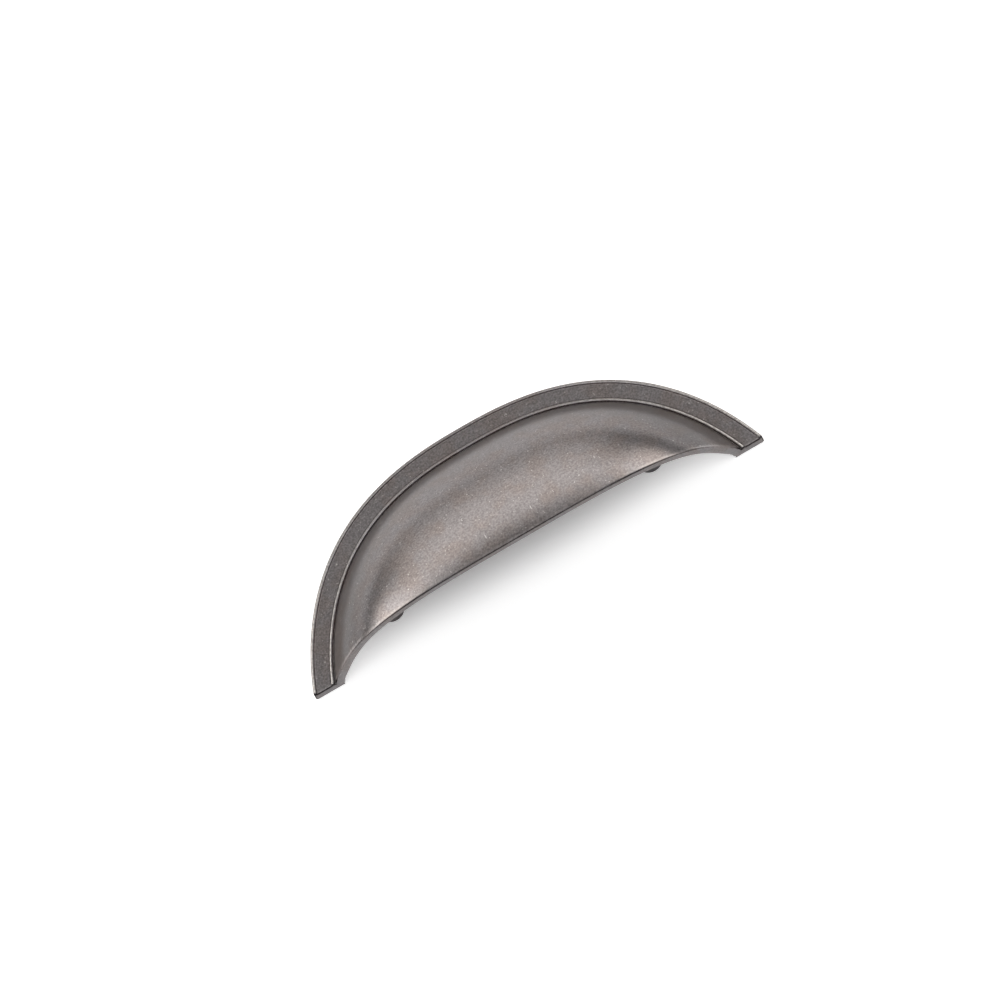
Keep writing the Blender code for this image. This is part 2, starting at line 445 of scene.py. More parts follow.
def rises_to(form, surface_at, start, plane, rows):
    """Heights of level rows from a start up to where the middle section meets the plane.

    They are even in the angle of the middle section's ellipse.
    """
    low = start
    high = form.projection * (1 - BELOW_CREST)
    for _ in range(HALVINGS):
        middle = (low + high) / 2
        if surface_at(np.array([[middle]]))(np.array([[0.0]]))[0, 0, 1] > plane:
            low = middle
        else:
            high = middle
    full = form.projection + form.crown_drop
    first = math.asin((start + form.crown_drop) / full)
    last = math.asin((low + form.crown_drop) / full)
    return (full * np.sin(np.linspace(first, last, rows + 1)) - form.crown_drop)[:, None]


def across(surface, rows, plane, share):
    """A surface's rows from one end at the plane to the other, for shares of the way to each end."""
    ends = share_at(surface, rows, plane)
    return surface(ends * share[None, :])


def mirrored(right):
    """Outline over the mouth from the left tip to the right one, from its right half up to the crest."""
    left = right * (-1, 1, 1)
    return np.concatenate([left, right[-2::-1]])


def mirrored_row(values):
    """Values over the mouth from the left tip to the right one, from its right half up to the crest."""
    return np.concatenate([values, values[-2::-1]])


def grid_index(shape, start):
    """Numbers of a grid's points, stored row by row from a start."""
    return start + np.arange(shape[0] * shape[1]).reshape(shape[0], shape[1])


def quads(shape, start):
    """Corners of a grid's faces, for points stored row by row."""
    index = grid_index(shape, start)
    corners = [index[:-1, :-1], index[:-1, 1:], index[1:, 1:], index[1:, :-1]]
    return np.stack(corners, axis=-1).reshape(-1, 4)


# Where the inner skin starts, as a share of the band's height
INNER_START = 0.35

# Patina at the dome's foot, and the height over which it fades
FOOT_PATINA = 0.5
FOOT_PATINA_HEIGHT = 0.5 * MM


def inner_skin(form, flange, facets, plane):
    """The dome moved inwards by the wall, with a first row let down to the back plane."""
    def surface_at(rise):
        return dome_surface(form, flange, rise, form.wall)
    rise = rises_to(form, surface_at, INNER_START * flange.height, plane, facets.inner_rows)
    surface = surface_at(rise)
    skin = across(surface, len(rise), plane, spread(facets.columns))
    mouth = surface(share_at(surface, len(rise), mouth_y(form)))[:, 0]
    skin = np.concatenate([skin[:1] * (1, 1, 0), skin])
    mouth = np.concatenate([mouth[:1] * (1, 1, 0), mouth])
    skin[-1] = skin[-1, skin.shape[1] // 2]
    mouth[-1] = (0, mouth_y(form), form.projection - form.wall)
    return skin, mouth


def outer_skin(form, flange, facets, plane):
    """Flange and dome from the back plane to the crest.

    Gives the skin, its outline in the mouth, the wear and patina of every row and the flange's painted
    shading.
    The foot's patina is e to the minus height over its own length.
    """
    section = flange_section(flange, facets)
    lower = flange_surface(form, section[:, :1], section[:, 1:2])
    floor = crease_floor(flange)

    def surface_at(rise):
        return dome_surface(form, flange, rise)
    rise = rises_to(form, surface_at, floor, plane, facets.dome_rows)
    upper = surface_at(rise)
    share = spread(facets.columns)
    skin = np.concatenate([
        across(lower, len(section), plane, share),
        across(upper, len(rise), plane, share),
    ])
    mouth = np.concatenate([
        lower(share_at(lower, len(section), mouth_y(form)))[:, 0],
        upper(share_at(upper, len(rise), mouth_y(form)))[:, 0],
    ])
    skin[-1] = skin[-1, skin.shape[1] // 2]
    mouth[-1] = (0, mouth_y(form), form.projection)
    foot = FOOT_PATINA * np.exp(-(rise[:, 0] - floor) / FOOT_PATINA_HEIGHT)
    wear_and_highlight = np.concatenate([section[:, 2], 0 * foot])
    patina_and_shade = np.concatenate([section[:, 3], foot])
    return skin, mouth, wear_and_highlight, patina_and_shade, section[:, 4]


def rounded(start, corner, end, steps):
    """A rounded edge: the parabola from start to end that the lines to their common corner touch."""
    t = np.linspace(0, 1, steps + 1)[None, :, None]
    return (1 - t) ** 2 * start[:, None] + 2 * t * (1 - t) * corner[:, None] + t ** 2 * end[:, None]


def into_wall(outline):
    """Unit directions square to an outline in the mouth's plane, to the right of its way across."""
    slope = np.gradient(outline, axis=0)
    square = np.stack([slope[:, 2], 0 * slope[:, 0], -slope[:, 0]], axis=-1)
    return square / np.linalg.norm(square, axis=-1, keepdims=True)


# How far below the crease the cut face's corner stays, over the rim's rounding
CREASE_MARGIN = 0.8


def outer_round(form, flange, facets, skin, mouth, flange_rows, plane):
    """Rounded edge between the outer skin and the cut face of the mouth.

    It is as deep as the rim's rounding, and a bell over the outer bead makes it as deep as the tip's.
    """
    inner = mirrored(mouth) + flange.rim_round * into_wall(mirrored(mouth))
    face = inner[:len(mouth)] * (-1, 1, 1)
    tip = mouth[:flange_rows, 0].max()
    low = crease_floor(flange) - flange.rim_round * CREASE_MARGIN
    face[:flange_rows, 0] = np.minimum(mouth[:flange_rows, 0], tip - flange.tip_round)
    face[:flange_rows, 2] = np.minimum(mouth[:flange_rows, 2], low)
    depth = np.full((len(mouth), 1), flange.rim_round)
    at_tip = bell(mouth[:flange_rows, :1], tip, 2 * flange.bead)
    depth[:flange_rows] += (flange.tip_round - flange.rim_round) * at_tip
    right = skin[:, -1]
    start = mouth + (right - mouth) * depth / (plane - mouth_y(form))
    curve = rounded(mirrored(start), mirrored(mouth), mirrored(face), facets.round_steps)
    return np.concatenate([mirrored(right)[:, None], curve], axis=1)


def inner_round(form, flange, facets, skin, mouth, plane):
    """Rounded edge between the inner skin and the cut face of the mouth."""
    face = mirrored(mouth) - flange.rim_round * into_wall(mirrored(mouth))
    face[[0, -1], 2] = 0
    right = skin[:, -1]
    start = mirrored(mouth + (right - mouth) * flange.rim_round / (plane - mouth_y(form)))
    curve = rounded(start, mirrored(mouth), face, facets.round_steps)
    return np.concatenate([mirrored(right)[:, None], curve], axis=1)


class Shade(NamedTuple):
    """A painted shade on the dome: a darker band, how much darker, and the middle and width of its bell."""

    depth: float
    middle: float
    width: float


SIDE_SHADE = Shade(0.8, 0.66, 0.14)
BACK_SHADE = Shade(0.14, 0.70, 0.09)

# Painted shade of steep flanks, and the normal's upward parts between which it eases to one
STEEP_PAINTED_SHADE = 0.74
STEEP_UPWARD = 0.5
OPEN_UPWARD = 0.75


def painted_shading_of(skin, flange_painted_shading):
    """Painted light and shade: how pale the open surface is, from the upward and sideways parts of its
    normal.

    It eases from less on steep flanks to one. Two bells of the upward part make it less again: one goes with
    the square of the sideways part, and one with the square of one less that part. The flange has its own.
    """
    down, along = np.gradient(skin, axis=(0, 1))
    normal = np.cross(down, along)
    normal = np.abs(normal) / np.maximum(np.linalg.norm(normal, axis=-1, keepdims=True), SMALLEST)
    sideways = normal[..., 0]
    upward = normal[..., 2]
    step = np.clip((upward - STEEP_UPWARD) / (OPEN_UPWARD - STEEP_UPWARD), 0, 1)
    # Painted shade: steep flanks and two bells of the normal are made darker
    painted_shading = STEEP_PAINTED_SHADE + (1 - STEEP_PAINTED_SHADE) * step * step * (3 - 2 * step)
    for facing, shade in ((sideways, SIDE_SHADE), (1 - sideways, BACK_SHADE)):
        painted_shading *= 1 - shade.depth * facing ** 2 * bell(upward, shade.middle, shade.width)
    painted_shading[:len(flange_painted_shading)] = flange_painted_shading[:, None]
    return painted_shading


def closed_mesh(name, points, faces, flat, marks):
    """A mesh with its doubles merged and its faces turned outwards; raises an error unless it is closed.

    Faces from number flat on are flat, and marks gives the values of each point attribute.
    """
    mesh = bpy.data.meshes.new(name)
    mesh.from_pydata(points.tolist(), [], faces)
    smooth = np.ones(len(faces), bool)
    smooth[flat:] = False
    mesh.polygons.foreach_set("use_smooth", smooth)
    for mark, values in marks.items():
        mesh.attributes.new(mark, "FLOAT", "POINT").data.foreach_set("value", values.astype(np.float32))
    bm = bmesh.new()
    bm.from_mesh(mesh)
    bmesh.ops.remove_doubles(bm, verts=bm.verts, dist=MERGE)
    bmesh.ops.dissolve_degenerate(bm, edges=bm.edges, dist=MERGE / 10)
    bmesh.ops.recalc_face_normals(bm, faces=bm.faces)
    open_edges = sum(not edge.is_manifold for edge in bm.edges)
    bm.to_mesh(mesh)
    bm.free()
    if open_edges:
        raise RuntimeError(f"{name} has {open_edges} open edges")
    mesh.set_sharp_from_angle(angle=SHARP_ANGLE)
    return mesh


# The rim's bright line: its wear, and its place and width over the rounded edge
RIM_WEAR = 0.2
RIM_WEAR_PLACE = 0.1
RIM_WEAR_WIDTH = 0.1

# The rim's black line, a painted dark reflection: its start over the rounded edge, its power and the painted
# darkening left beside it
RIM_DARK_START = 0.08
RIM_DARK_POWER = 1.3
RIM_DARK_LEAST = 0.2

# Where the black line thins and where it is full again, in millimetres from the middle
THIN_SHARE = 0.6
THIN_FROM = 27
THIN_LENGTH = 8
FULL_FROM = 48.5
FULL_LENGTH = 1

# Wear of the beads in the middle of the pull, against one at its tips; the rise to the tips is a painted
# highlight
MIDDLE_HIGHLIGHT = 0.05

# How much darker the hidden surfaces are: the inner skin, and the posts under the dome as a painted shade
INNER_DARKENING = 0.25
POST_PAINTED_SHADE = 0.5

# Distance of the rounded edge's skin side behind the mouth, over the tips' rounding
EDGE_MARGIN = 1.2


def rim_marks(edge, wear_and_highlight, patina_and_shade):
    """Wear and darkening of the rounded edge, along a way from the outer skin to the cut face.

    The wear is a bell near the start of the way. The darkening, a painted dark reflection, is a sine of the
    rest of it to a power, and is thinned over a stretch of each side. Neither is less than the skin's own,
    which fades on the way.
    """
    way = np.linspace(0, 1, edge.shape[1])[None, :]
    out = np.abs(edge[:, :1, 0]) / MM
    thinned = 1 - THIN_SHARE * np.clip((out - THIN_FROM) / THIN_LENGTH, 0, 1)
    full = np.clip((out - FULL_FROM) / FULL_LENGTH, 0, 1)
    angle = np.clip((way - RIM_DARK_START) / (1 - RIM_DARK_START), 0, 1) * math.pi
    # Painted dark reflection: the black line along the rounded edge
    line = np.sin(angle) ** RIM_DARK_POWER * np.maximum(thinned, full)
    dark_edge = np.maximum(line, RIM_DARK_LEAST * way)
    rubbed_and_highlit = RIM_WEAR * bell(way, RIM_WEAR_PLACE, RIM_WEAR_WIDTH)
    return (
        np.maximum(rubbed_and_highlit, mirrored_row(wear_and_highlight)[:, None] * (1 - way)),
        np.maximum(dark_edge, mirrored_row(patina_and_shade)[:, None] * (1 - way) ** 2),
    )


def casting_mesh(form, flange, facets):
    """The whole shell: outer skin, inner skin, back plane, two rounded edges and the cut face between them.

    The flange's wear grows to its tips with the square of the share of the way there, as a painted highlight.
    """
    plane = mouth_y(form) + EDGE_MARGIN * flange.tip_round
    outer, outer_mouth, wear_and_highlight, patina_and_shade, flange_painted_shading = outer_skin(form, flange, facets, plane)
    inner, inner_mouth = inner_skin(form, flange, facets, plane)
    back = np.stack([outer[0], inner[0]])
    edge = outer_round(form, flange, facets, outer, outer_mouth, len(flange_painted_shading), plane)
    lip = inner_round(form, flange, facets, inner, inner_mouth, plane)
    grids = [outer, inner, back, edge, lip]

    # Painted highlight: the flange's wear rises from the middle to the tips
    tip_highlight = MIDDLE_HIGHLIGHT + (1 - MIDDLE_HIGHLIGHT) * spread(facets.columns) ** 2
    edge_wear_and_highlight, edge_patina_and_shade = rim_marks(edge, wear_and_highlight, patina_and_shade)
    wear_and_highlight_parts = [wear_and_highlight[:, None] * tip_highlight, 0.0, 0.0, edge_wear_and_highlight, 0.0]
    # Patina, with the painted dark line on the rim's edge
    patina_and_shade_parts = [patina_and_shade[:, None], INNER_DARKENING, 0.0, edge_patina_and_shade, 0.0]
    # Painted light and shade of the outer skin, by the direction of its normal
    painted_shading_parts = [painted_shading_of(outer, flange_painted_shading), 1.0, 1.0, 1.0, 1.0]
    marks = {}
    for mark, parts in (("wear_and_highlight", wear_and_highlight_parts), ("patina_and_shade", patina_and_shade_parts), ("painted_shading", painted_shading_parts)):
        filled = [np.broadcast_to(part, grid.shape[:2]) for part, grid in zip(parts, grids)]
        marks[mark] = np.concatenate([values.ravel() for values in filled])

    starts = np.cumsum([0] + [grid.shape[0] * grid.shape[1] for grid in grids])
    faces = []
    for grid, start in zip(grids, starts):
        faces += quads(grid.shape, start).tolist()
    smooth_count = len(faces)
    edge_index = grid_index(edge.shape, starts[3])
    lip_index = grid_index(lip.shape, starts[4])
    faces.append(edge_index[:, -1].tolist() + lip_index[::-1, -1].tolist())
    for end in (0, -1):
        faces.append(edge_index[end].tolist() + lip_index[end, ::-1].tolist())
    points = np.concatenate([grid.reshape(-1, 3) for grid in grids])
    return closed_mesh("casting", points, faces, smooth_count, marks)


# How far round a post's axis the inner skin is fitted
ROOF_REACH = 7 * MM

# Points up a post's root and down its side, and steps in a turn of its thread
ROOT_POINTS = 7
POST_SIDE_POINTS = 7
THREAD_STEPS = 8

# Share of the thread's depth that is cut, the widening at the hole's mouth and the drill's half angle
THREAD_CUT = 0.85
HOLE_MOUTH = 0.1 * MM
DRILL_ANGLE = math.radians(59)


def roof_over(form, flange, facets, x, y):
    """Height of the inner skin near a point, as the quadratic surface that fits it best there."""
    skin, _ = inner_skin(form, flange, facets, mouth_y(form) + flange.rim_round)
    points = skin[1:].reshape(-1, 3)
    near = points[np.hypot(points[:, 0] - x, points[:, 1] - y) < ROOF_REACH]

    def terms(dx, dy):
        return np.stack([1 + 0 * dx, dx, dy, dx * dx, dx * dy, dy * dy], axis=-1)
    factors = np.linalg.lstsq(terms(near[:, 0] - x, near[:, 1] - y), near[:, 2], rcond=None)[0]
    return lambda dx, dy: terms(dx, dy) @ factors


def post_grid(post, wall, roof, turn):
    """One post as rows of radius and height round its axis, from inside the dome's wall to its hole's end.

    The root is a quarter round that hangs from the roof, and the thread a triangle wave of height and turn.
    """
    foot = post.diameter / 2
    unit = np.ones_like(turn)

    def height_under(radius):
        return roof(radius * np.cos(turn), radius * np.sin(turn))
    wide = foot + post.root
    rows = [(0 * turn, height_under(0 * turn) + wall / 2), (wide * unit, height_under(wide) + wall / 2)]
    for share in np.linspace(0, 1, ROOT_POINTS):
        out = post.root * (1 - math.sin(share * math.pi / 2))
        drop = post.root * (1 - math.cos(share * math.pi / 2))
        rows.append(((foot + out) * unit, height_under(foot + out) - drop))
    top = rows[-1][1]
    for share in np.linspace(0, 1, POST_SIDE_POINTS)[1:]:
        height = top + (post.chamfer - top) * share
        swell = (height - post.chamfer) * math.tan(post.draft) * share * (1 - share)
        rows.append((foot + swell, height))
    rows.append(((foot - post.chamfer) * unit, 0 * turn))
    major = post.thread / 2
    minor = post.tapping / 2
    rows.append(((major + HOLE_MOUTH) * unit, 0 * turn))
    for height in np.arange(major + HOLE_MOUTH - minor, post.depth, post.pitch / THREAD_STEPS):
        phase = (height / post.pitch - turn / (2 * math.pi)) % 1
        groove = 1 - np.abs(2 * phase - 1)
        rows.append((minor + (major - minor) * np.minimum(groove, THREAD_CUT), height * unit))
    rows.append((minor * unit, post.depth * unit))
    tip = post.depth + minor / math.tan(DRILL_ANGLE)
    rows.append((0 * turn, tip * unit))
    radius = np.stack([row[0] for row in rows])
    height = np.stack([row[1] for row in rows])
    return np.stack([radius * np.cos(turn), radius * np.sin(turn), height], axis=-1)


def posts_mesh(form, flange, post, facets):
    """Both posts, each a closed body, half the spacing to either side of the middle."""
    turn = np.linspace(0, 2 * math.pi, facets.turn_steps + 1)
    turn[-1] = 0
    y = mouth_y(form) + post.setback
    blocks = []
    faces = []
    start = 0
    for side in (-1, 1):
        x = side * post.spacing / 2
        grid = post_grid(post, form.wall, roof_over(form, flange, facets, x, y), turn)
        blocks.append((grid + (x, y, 0)).reshape(-1, 3))
        faces += quads(grid.shape, start).tolist()
        start += grid.shape[0] * grid.shape[1]
    points = np.concatenate(blocks)
    marks = {
        "wear_and_highlight": np.zeros(len(points)),
        # Painted shade: the posts darkened as if under the dome's shadow
        "patina_and_shade": np.full(len(points), POST_PAINTED_SHADE),
        "painted_shading": np.ones(len(points)),
    }
    return closed_mesh("posts", points, faces, len(faces), marks)


def add_node(tree, kind, settings=None, **inputs):
    """A node with its settings and inputs; _2 means the input of number 2, and a socket is linked."""
    node = tree.nodes.new(kind)
    for key, value in (settings or {}).items():
        setattr(node, key, value)
    for key, value in inputs.items():
        socket = node.inputs[int(key[1:])] if key[0] == "_" else node.inputs[key.replace("_", " ")]
        if isinstance(value, bpy.types.NodeSocket):
            tree.links.new(value, socket)
        else:
            socket.default_value = value
    return node


def maths(tree, operation, *values):
    """What one operation gives for values that are sockets or numbers."""
    inputs = {f"_{place}": value for place, value in enumerate(values)}
    return add_node(tree, "ShaderNodeMath", {"operation": operation}, **inputs).outputs[0]


def times(tree, first, second):
    """The product of two values, each a socket or a number."""
    return maths(tree, "MULTIPLY", first, second)


def greatest(tree, values):
    """The greatest of some values, or zero where they are all less."""
    total = 0.0
    for value in values:
        total = maths(tree, "MAXIMUM", total, value)
    return total


def scaled(tree, vector, factor):
    """A vector or colour times a value."""
    return add_node(tree, "ShaderNodeVectorMath", {"operation": "SCALE"}, _0=vector, Scale=factor).outputs[0]


def length_of(tree, vector):
    """The length of a vector."""
    return add_node(tree, "ShaderNodeVectorMath", {"operation": "LENGTH"}, _0=vector).outputs["Value"]


def stretched(tree, value, low, high, to_low=0.0, to_high=1.0, kind="SMOOTHSTEP"):
    """A value carried from one range to another and held at its ends, smoothly or along a straight line."""
    return add_node(
        tree, "ShaderNodeMapRange", {"interpolation_type": kind}, Value=value,
        _1=low, _2=high, _3=to_low, _4=to_high).outputs["Result"]


def blended(tree, share, first, second):
    """A colour between two, each a socket or a tuple."""
    colours = []
    for value in (first, second):
        colours.append(value if isinstance(value, bpy.types.NodeSocket) else (*value, 1))
    return add_node(
        tree, "ShaderNodeMix", {"data_type": "RGBA"}, _0=share, _6=colours[0], _7=colours[1]).outputs[2]


def noise(tree, place, size, detail):
    """Noise from zero to one whose patches are about a given size."""
    return add_node(tree, "ShaderNodeTexNoise", Vector=place, Scale=1 / size, Detail=detail).outputs["Fac"]


def point_value(tree, mark):
    """The value of a point attribute."""
    return add_node(tree, "ShaderNodeAttribute", {"attribute_name": mark}).outputs["Fac"]


class Marks(NamedTuple):
    """Light marks, at most one to a cell of the surface.

    A cell is so many times the finish's speck distance. A share of the cells hold a mark, whose radius is
    a share of the cell. A scratch is a mark drawn out along one direction.
    """

    cell: float
    share: float
    radius: float
    turn: tuple = (0.0, 0.0, 0.0)
    draw: float = 1.0


SPECKS = Marks(0.8, 0.40, 0.24)
PITS_AND_SCRATCHES = (
    Marks(2.2, 0.20, 0.12),
    Marks(1.5, 0.16, 0.11, (0.4, 0.2, 0.9), 9.0),
    Marks(1.7, 0.16, 0.10, (-0.5, 0.3, -0.5), 8.0),
    Marks(1.9, 0.14, 0.09, (0.2, -0.4, 2.0), 12.0),
)

# Softness of a mark's edge, over its radius, and of the choice of the cells
MARK_SOFT = 0.5
CHOICE_SOFT = 0.02

# How bare a mark is, and how rough
MARK_BARE = 0.5
MARK_ROUGH = 0.55

# Ends of the ranges that are stretched, and in the sets of four also what they are carried to
BLOTCH_RANGE = (0.38, 0.66)
GRAIN_RANGE = (0.3, 0.7)
GRAIN_SHADE = (0.72, 1.28)
GRAIN_ROUGH = 0.03
DENSE_RANGE = (0.40, 0.62, 0.2, 1.0)
RUB_RANGE = (0.35, 0.6, 0.45, 1.0)
GATHER_RANGE = (0.3, 0.6, 0.85, 1.0)
SHEEN_RANGE = (0.3, 0.8, 0.7, 0.3)


def specks(tree, place, size, marks):
    """Where one kind of light marks lies: near the middle of a cell, and in the chosen cells only."""
    along = add_node(
        tree, "ShaderNodeMapping", Vector=place, Rotation=marks.turn, Scale=(1, 1 / marks.draw, 1))
    cells = add_node(
        tree, "ShaderNodeTexVoronoi", Vector=along.outputs["Vector"], Scale=1 / (size * marks.cell)).outputs
    lot = add_node(tree, "ShaderNodeSeparateColor", Color=cells["Color"]).outputs["Red"]
    chosen = stretched(tree, lot, 1 - marks.share, 1 + CHOICE_SOFT - marks.share)
    return times(tree, stretched(tree, cells["Distance"], marks.radius, marks.radius * MARK_SOFT), chosen)


def pewter_material(finish):
    """Antique pewter: mottled dark plating, rubbed bright on its edges and in specks and scratches.

    The colour is the mottled tone times grain and painted light and shade, blended to the worn colour by
    wear, with a painted highlight at the flange's tips, and by marks, and to the patina's by patina and
    painted shade.
    """
    material = bpy.data.materials.new("worn_pewter")
    material.use_nodes = True
    tree = material.node_tree
    shader = tree.nodes["Principled BSDF"]
    shader.inputs["Metallic"].default_value = 1.0
    place = add_node(tree, "ShaderNodeTexCoord").outputs["Object"]
    patina_and_shade = point_value(tree, "patina_and_shade")
    grain = noise(tree, place, finish.grain, 3.0)
    blotch = noise(tree, place, finish.blotch, 3.0)
    uneven = noise(tree, place, finish.blotch / 4, 2.0)
    fine = noise(tree, place, finish.blotch / 8, 3.0)

    mottled = blended(tree, stretched(tree, blotch, *BLOTCH_RANGE), finish.tone, finish.brown)
    grained = scaled(tree, mottled, stretched(tree, grain, *GRAIN_RANGE, *GRAIN_SHADE, "LINEAR"))
    dense = stretched(tree, uneven, *DENSE_RANGE)
    kinds = [times(tree, specks(tree, place, finish.speck, SPECKS), dense)]
    kinds += [specks(tree, place, finish.speck, kind) for kind in PITS_AND_SCRATCHES]
    marks = greatest(tree, kinds)
    # Wear, with a painted highlight on the flange's tips, turns the colour to the worn one
    rubbed_and_highlit = times(tree, point_value(tree, "wear_and_highlight"), stretched(tree, fine, *RUB_RANGE))
    bright_share = greatest(tree, [rubbed_and_highlit, times(tree, marks, MARK_BARE)])
    # The painted shading scales the tone to stand in for light and shade
    shaded_tone = scaled(tree, grained, point_value(tree, "painted_shading"))
    bright = blended(tree, bright_share, shaded_tone, finish.worn)
    # Patina in the grooves, and painted shade on the posts and the rim's edge
    darkening = times(tree, patina_and_shade, stretched(tree, uneven, *GATHER_RANGE))
    tree.links.new(blended(tree, darkening, bright, finish.patina_and_shade), shader.inputs["Base Color"])
    tree.links.new(stretched(tree, patina_and_shade, *SHEEN_RANGE), shader.inputs["Specular Tint"])

    roughest = finish.roughness + GRAIN_ROUGH
    rough = stretched(tree, grain, *GRAIN_RANGE, finish.roughness, roughest, "LINEAR")
    mixed = add_node(tree, "ShaderNodeMix", {"data_type": "FLOAT"}, _0=marks, _2=rough, _3=MARK_ROUGH)
    tree.links.new(mixed.outputs[0], shader.inputs["Roughness"])
    bump = add_node(tree, "ShaderNodeBump", Strength=1.0, Distance=finish.relief, Height=grain)
    tree.links.new(bump.outputs["Normal"], shader.inputs["Normal"])
    return material


def shown(name, mesh, context):
    """Puts a mesh in the scene under a name, in place of any piece that had it."""
    old = bpy.data.objects.get(name)
    if old:
        bpy.data.objects.remove(old)
    piece = bpy.data.objects.new(name, mesh)
    context.scene.collection.objects.link(piece)
    return piece


def finish_piece(piece, material):
    """Gives a piece the pewter and lets it stand for the casting."""
    piece.data.materials.append(material)
    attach(piece, "root")
    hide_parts("cup_pull")


class CUP_PULL_OT_casting(bpy.types.Operator):
    """Build the shell: the domed skin, the beaded flange and the cut face of the mouth"""

    bl_idname = "cup_pull.casting"
    bl_label = "Casting"

    def execute(self, context):
        """Build the mesh from its sizes and put it in the scene."""
        scene = context.scene
        mesh = casting_mesh(scene.pull_form, scene.flange_form, scene.pull_facets)
        finish_piece(shown("casting", mesh, context), pewter_material(scene.pewter_finish))
        return {"FINISHED"}


class CUP_PULL_OT_posts(bpy.types.Operator):
    """Build the two tapped posts under the dome"""

    bl_idname = "cup_pull.posts"
    bl_label = "Screw posts"

    def execute(self, context):
        """Build the mesh from its sizes and put it in the scene, in the casting's pewter if that is there."""
        scene = context.scene
        mesh = posts_mesh(scene.pull_form, scene.flange_form, scene.post_form, scene.pull_facets)
        material = bpy.data.materials.get("worn_pewter") or pewter_material(scene.pewter_finish)
        finish_piece(shown("screw_posts", mesh, context), material)
        return {"FINISHED"}


# Half the floor's side and its distance under the back plane
FLOOR_HALF = 20.0
FLOOR_GAP = 0.2 * MM
FLOOR_ROUGHNESS = 0.9

# The pale sheet round the pull, and how pale the floor is beyond twice its radius
SHEET_RADIUS = 0.18
SHEET_FADE = 0.25

# The oval on which the glow rises, its two distances from the middle and how many times it rises; the dimmer
# glow near the pull paints a shadow
GLOW_OVAL = (0.3, 1, 1)
GLOW_NEAR = 0.009
GLOW_FAR = 0.023
GLOW_RISE = 3.0


def floor_material(studio):
    """White near the pull and darker far out, with a glow that camera, glossy and transmission rays see.

    The glow rises smoothly from the floor glow to three times that, by the distance from the middle on an
    oval that is long in the pull's direction, so that its dimmer middle is a painted shadow round the pull.
    Matt surfaces get no light from it.
    """
    material = bpy.data.materials.new("pale_floor")
    material.use_nodes = True
    tree = material.node_tree
    shader = tree.nodes["Principled BSDF"]
    place = add_node(tree, "ShaderNodeTexCoord").outputs["Object"]
    sheet = stretched(tree, length_of(tree, place), SHEET_RADIUS, 2 * SHEET_RADIUS, 1.0, SHEET_FADE)
    tree.links.new(scaled(tree, tuple(studio.floor), sheet), shader.inputs["Base Color"])
    shader.inputs["Roughness"].default_value = FLOOR_ROUGHNESS
    shader.inputs["Specular IOR Level"].default_value = 0.0
    path = add_node(tree, "ShaderNodeLightPath").outputs
    kinds = ("Is Camera Ray", "Is Glossy Ray", "Is Transmission Ray")
    seen = greatest(tree, [path[kind] for kind in kinds])
    oval = add_node(tree, "ShaderNodeVectorMath", {"operation": "MULTIPLY"}, _0=place, _1=GLOW_OVAL)
    away = length_of(tree, oval.outputs[0])
    # The glow is dimmer near the pull: a painted shadow
    shadowed_glow = stretched(tree, away, GLOW_NEAR, GLOW_FAR, studio.floor_glow, GLOW_RISE * studio.floor_glow)
    glow = times(tree, times(tree, seen, shadowed_glow), sheet)
    shader.inputs["Emission Color"].default_value = (*WHITE, 1)
    tree.links.new(glow, shader.inputs["Emission Strength"])
    return material


def add_floor(studio, context):
    """A wide flat floor just under the back plane."""
    side = np.array([-1, 1]) * FLOOR_HALF
    x, y = np.meshgrid(side, side)
    points = np.stack([x, y, np.full_like(x, -FLOOR_GAP)], axis=-1).reshape(-1, 3)
    mesh = bpy.data.meshes.new("floor")
    mesh.from_pydata(points.tolist(), [], quads((2, 2), 0).tolist())
    floor = shown("floor", mesh, context)
    mesh.materials.append(floor_material(studio))


class LightPanel(NamedTuple):
    """A soft-edged light panel, in degrees of azimuth and elevation, with its brightness.

    Its azimuth is counted from behind the pull towards +X. Its sides lean in as they rise.
    """

    azimuth: float
    half_width: float
    side_soft: float
    low: float
    low_soft: float
    high: float
    high_soft: float
    level: float


PANELS = (
    LightPanel(-1, 22, 7, 8, 31, 58, 2, 1.72),
    LightPanel(-51, 21, 2, 15, 3, 52, 1, 3.30),
    LightPanel(50.5, 21, 2, 18.5, 3, 51, 1, 2.85),
)
PANEL_LEAN = 0.45
PANEL_MIDDLE = math.radians(30)
PANEL_TINT = (1.03, 0.995, 0.945)

# The dim room, as pairs of the sine of the elevation and the brightness there
ROOM_LIGHT = ((0.0, 0.17), (0.2, 0.19), (0.8, 0.27), (1.0, 0.3))

# The light ahead of the mouth, with the parts of the direction along Y between which it rises
FRONT_LEVEL = 0.2
FRONT_START = -0.1
FRONT_FULL = -0.4

# The strip above the mouth, in parts of the direction, with its soft edge and its rise over the horizon
STRIP_FORWARD = 0.17
STRIP_DEPTH = 0.2
STRIP_LENGTH = 0.6
STRIP_LEVEL = 2.6
STRIP_OUTER = 1.25
STRIP_INNER = 0.75
STRIP_HORIZON = 0.1


def room_light(tree, height):
    """Brightness of the dim room, eased between its levels by the sine of the elevation."""
    node = add_node(tree, "ShaderNodeValToRGB", Fac=height)
    ramp = node.color_ramp
    ramp.interpolation = "EASE"
    while len(ramp.elements) < len(ROOM_LIGHT):
        ramp.elements.new(0.5)
    for element, (sine, level) in zip(ramp.elements, ROOM_LIGHT):
        element.position = sine
        element.color = (level, level, level, 1)
    return node.outputs["Color"]


